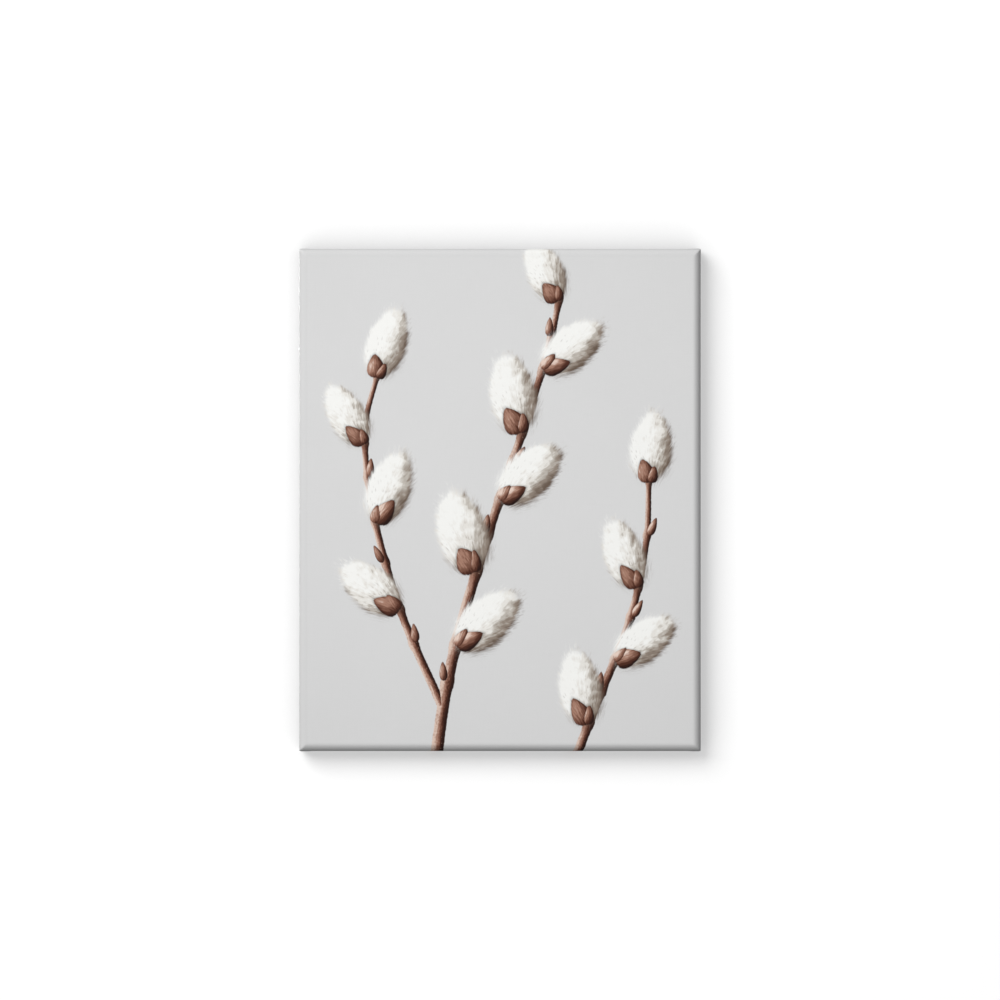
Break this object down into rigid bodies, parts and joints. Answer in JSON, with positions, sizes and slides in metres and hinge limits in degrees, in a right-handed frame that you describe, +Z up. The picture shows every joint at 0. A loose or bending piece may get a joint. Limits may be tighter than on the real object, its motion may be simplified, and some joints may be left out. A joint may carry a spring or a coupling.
{
  "type": "stretched canvas wall print",
  "caption": "Printed canvas wrapped over a mitred wooden stretcher frame with rounded front edges, stapled at the back and hung on a wall by a sawtooth hanger.",
  "frame": {"origin": "the middle notch of the sawtooth hanger, on the wall plane, where the wall's nail bears", "axes": "+X to the right as the picture is seen, +Y into the wall, +Z up; the picture faces -Y"},
  "size_m": [0.4, 0.023, 0.5],
  "materials": {
    "printed_canvas": "matte coated cotton canvas with a print that wraps the edges, raw off-white weave on the back",
    "bar_wood": "planed unfinished pine",
    "key_wood": "sawn unfinished beech",
    "staple_wire": "galvanised flat wire",
    "hanger_metal": "pressed strip with thin yellow plating",
    "nail_metal": "round head with thin yellow plating"
  },
  "bodies": {
    "root": {"canvas": "printed_canvas", "bar_bottom": "bar_wood", "bar_left": "bar_wood", "bar_right": "bar_wood", "bar_top": "bar_wood", "key_bottom_finish": "key_wood", "key_bottom_start": "key_wood", "key_left_finish": "key_wood", "key_left_start": "key_wood", "key_right_finish": "key_wood", "key_right_start": "key_wood", "key_top_finish": "key_wood", "key_top_start": "key_wood", "staple_bottom_1": "staple_wire", "staple_bottom_2": "staple_wire", "staple_bottom_3": "staple_wire", "staple_bottom_4": "staple_wire", "staple_bottom_5": "staple_wire", "staple_bottom_6": "staple_wire", "staple_bottom_7": "staple_wire", "staple_bottom_8": "staple_wire", "staple_left_1": "staple_wire", "staple_left_2": "staple_wire", "staple_left_3": "staple_wire", "staple_left_4": "staple_wire", "staple_left_5": "staple_wire", "staple_left_6": "staple_wire", "staple_left_7": "staple_wire", "staple_left_8": "staple_wire", "staple_right_1": "staple_wire", "staple_right_2": "staple_wire", "staple_right_3": "staple_wire", "staple_right_4": "staple_wire", "staple_right_5": "staple_wire", "staple_right_6": "staple_wire", "staple_right_7": "staple_wire", "staple_right_8": "staple_wire", "staple_top_1": "staple_wire", "staple_top_2": "staple_wire", "staple_top_3": "staple_wire", "staple_top_4": "staple_wire", "staple_top_5": "staple_wire", "staple_top_6": "staple_wire", "staple_top_7": "staple_wire", "staple_top_8": "staple_wire", "hanger": "hanger_metal", "nail_left": "nail_metal", "nail_right": "nail_metal"}
  },
  "joints": []
}
